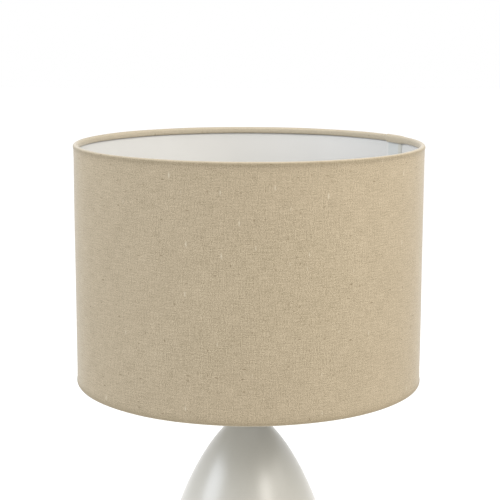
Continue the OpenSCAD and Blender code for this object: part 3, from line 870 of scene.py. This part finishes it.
linen_line = np.concatenate([roll_over(SHADE_LOW, -1)[::-1], up_the_outside(), roll_over(SHADE_TOP, 1)])
linen_length = float(np.linalg.norm(np.diff(linen_line, axis=0), axis=1).sum())
print(f"linen: {linen_length:.1f} mm from one cut edge to the other")


# %% Linen cover
def cloth_lift(angle, distance):
    """0.42 mm over the overlap and 0.8 mm more where that is rolled, plus two slow waves of less than a tenth
    of a millimetre each, sin(3a + d / 31) and sin(11a - d / 17), for the cloth's own unevenness."""
    over = smooth(angle, 360 + SEAM_START - 4, 360 + SEAM_START + 1)
    in_tail = smooth(np.abs(distance - linen_length / 2), linen_length / 2 - 9, linen_length / 2 - 4)
    a = np.radians(angle)
    uneven = 0.07 * np.sin(3 * a + distance / 31) + 0.05 * np.sin(11 * a - distance / 17)
    return over * (0.42 + 0.8 * in_tail) + uneven


linen_angles = np.concatenate([np.linspace(SEAM_START, 360 + SEAM_START - 4.5, 360),
                               np.linspace(360 + SEAM_START - 4, 360 + SEAM_END, 28)])
shade_linen = rolled_sheet("shade_linen", LINEN, ["shade_fabric", "top_hem", "bottom_hem"],
                           linen_line, linen_angles, cloth_lift, CLOTH_T)

# %% [markdown]
# At the drum's edges light and shade are painted into the cloth's tone: a painted highlight in a thin line
# along the fold, painted light on the layer that rolls inwards, and painted shade just below the fold. Two
# numbers on each point of the mesh, worked out from where the point lies, carry this, and they stay on the
# cloth as it turns.


# %% Painted light on the linen's fold, painted shade below it
def layer_on(made, name, amount):
    """A number on each point of a piece, from a function of the point's radius and height in mm."""
    places = np.empty(3 * len(made.data.vertices), np.float32)
    made.data.vertices.foreach_get("co", places)
    x, y, z = places.reshape(-1, 3).T / MM
    layer = made.data.attributes.new(name, "FLOAT", "POINT")
    layer.data.foreach_set("value", amount(np.hypot(x, y), z).astype(np.float32))


def folded(radius, height):
    """Painted light: the larger of 0.55 where the layer rolls inwards and 0.45, a painted highlight, in a thin
    line along the fold.
    """
    from_edge = np.minimum(SHADE_TOP - height, height - SHADE_LOW)
    inside = 1 - smooth(radius, SHADE_R - 4.2, SHADE_R - 2)
    return np.maximum(0.55 * inside, 0.45 * (1 - smooth(from_edge, 0.1, 1.4)))


def painted_edge_shade_share(radius, height):
    """Painted shade: 0.42 just below the fold, 0.12 further on, and then 0."""
    from_edge = np.minimum(SHADE_TOP - height, height - SHADE_LOW)
    share = 0.3 * (1 - smooth(from_edge, 2.4, 5)) + 0.12 * (1 - smooth(from_edge, 5, 8))
    return np.where(radius > SHADE_R - 1.5, share * smooth(from_edge, 0.4, 1.6), 0)


layer_on(shade_linen, "fold", folded)
layer_on(shade_linen, "painted_edge_shade", painted_edge_shade_share)
print("layers on the linen:", ", ".join(layer.name for layer in shade_linen.data.attributes
                                        if layer.name in ("fold", "painted_edge_shade")))

# %% [markdown]
# The liner is the same kind of sheet with nothing rolled over. It runs from the top down, so that its visible
# face is the inner one. The inner end of its overlap stands in by its own thickness, and that small step is
# what shows as the seam. A tube with a line drawn on it would have no edge for the light to catch.

# %% Styrene liner
LINER_T = 0.6
liner_low, liner_top = extent("shade_liner")[1:]


def liner_lift(angle, distance):
    """One thickness over the overlap, rising over a degree at its pressed edge and falling at its end."""
    layer = smooth(angle, SEAM_START - 0.3, SEAM_START + 0.9) * (1 - smooth(angle, SEAM_END, SEAM_END + 1.5))
    return (LINER_T + 0.05) * layer + 0 * distance


liner_line = np.stack([np.full(30, LINER_R - LINER_T), np.linspace(liner_top, liner_low, 30)], 1)
liner_angles = np.concatenate([np.linspace(SEAM_START, SEAM_END + 2, 24),
                               np.linspace(SEAM_END + 2.5, 360 + SEAM_END, 360)])
rolled_sheet("shade_liner_styrene", STYRENE, ["shade_liner"], liner_line, liner_angles, liner_lift, LINER_T)

# %% [markdown]
# ## Parts that keep the frame's shape
#
# The plain wires, nuts, washers, screws and plates are already the right shape, so they are kept as the frame
# gives them. Making them again would add nothing but a chance of error. They only take a finish.

# %% Finishes for the rest
for finish, names in (
        (POWDER_COAT, ["top_hoop", "bottom_hoop", "spokes"]),
        (ZINC_STEEL, ["tension_plate", "bottom_washer", "top_washer", "threaded_rod", "locking_screw"]),
        (BRASS, ["bottom_nut", "top_nut", "terminal_screws", "centre_contact"]),
        (SOFT_PVC, ["cable_bush"]),
        (HARDBOARD, ["foot_disc"]),
        (SOLDER_MASK, ["led_board"])):
    for name in names:
        for slot in frame["nodes"][name].material_slots:
            slot.material = finish
    print(f"{finish.name}: {', '.join(names)}")

# %% [markdown]
# ## Room and light
#
# The lamp stands on a white table in a white room. White walls all round give an even light from everywhere,
# which is the world's colour here. Real walls would do the same more slowly and with more noise. A window at
# the right draws the soft line down the glaze, a larger softbox beside it models the drum, and one at the left
# draws the other line. The table top gives off a little light of its own, so that it stays white.

# %% Floor and world
FLOOR_M, FLOOR_GLOW = 16.0, 0.4
floor_mesh = bpy.data.meshes.new("floor")
half = FLOOR_M / 2
floor_mesh.from_pydata([(-half, -half, 0), (half, -half, 0), (half, half, 0), (-half, half, 0)], [],
                       [(0, 1, 2, 3)])
floor = bpy.data.objects.new("floor", floor_mesh)
bpy.context.scene.collection.objects.link(floor)
floor_finish, floor_shader = new_finish("white laminate table top", Base_Color=linear("#CFCFCE"),
                                        Roughness=0.6, Specular_IOR_Level=0.2)
floor_shader.inputs["Emission Color"].default_value = linear("#FFFFFF")
floor_shader.inputs["Emission Strength"].default_value = FLOOR_GLOW
floor_mesh.materials.append(floor_finish)

world = bpy.data.worlds.new("white room")
bpy.context.scene.world = world
world.use_nodes = True
background = world.node_tree.nodes["Background"]
background.inputs["Color"].default_value = linear("#FFFFFF")
background.inputs["Strength"].default_value = 1.0
print(f"floor: {FLOOR_M:.0f} m square")

# %% Softboxes
LAMP_MIDDLE = Vector((0, 0, 0.3))


def softbox(name, azimuth, away, up, width, tall, watts, tint):
    """A rectangular light at (away sin azimuth, -away cos azimuth, up), facing the lamp's middle. Azimuth is
    in degrees, 0 behind the camera and 90 at its right, and distances are in metres."""
    data = bpy.data.lights.new(name, "AREA")
    data.shape = "RECTANGLE"
    data.size, data.size_y = width, tall
    data.energy = watts
    data.color = linear(tint)[:3]
    lamp = bpy.data.objects.new(name, data)
    bpy.context.scene.collection.objects.link(lamp)
    turn = math.radians(azimuth)
    lamp.location = (away * math.sin(turn), -away * math.cos(turn), up)
    lamp.rotation_euler = (LAMP_MIDDLE - lamp.location).to_track_quat("-Z", "Y").to_euler()
    print(f"{name}: {watts} W at {away} m")


softbox("window_right", 37, 1.5, 1.1, 0.6, 0.9, 8, "#FFFBF5")
softbox("softbox_right", 60, 0.9, 1.1, 1.3, 0.9, 11.5, "#FFFBF5")
softbox("softbox_left", -77, 1.5, 1.05, 1.0, 1.2, 20, "#EDF4FF")
bpy.context.scene.view_settings.view_transform = "Standard"
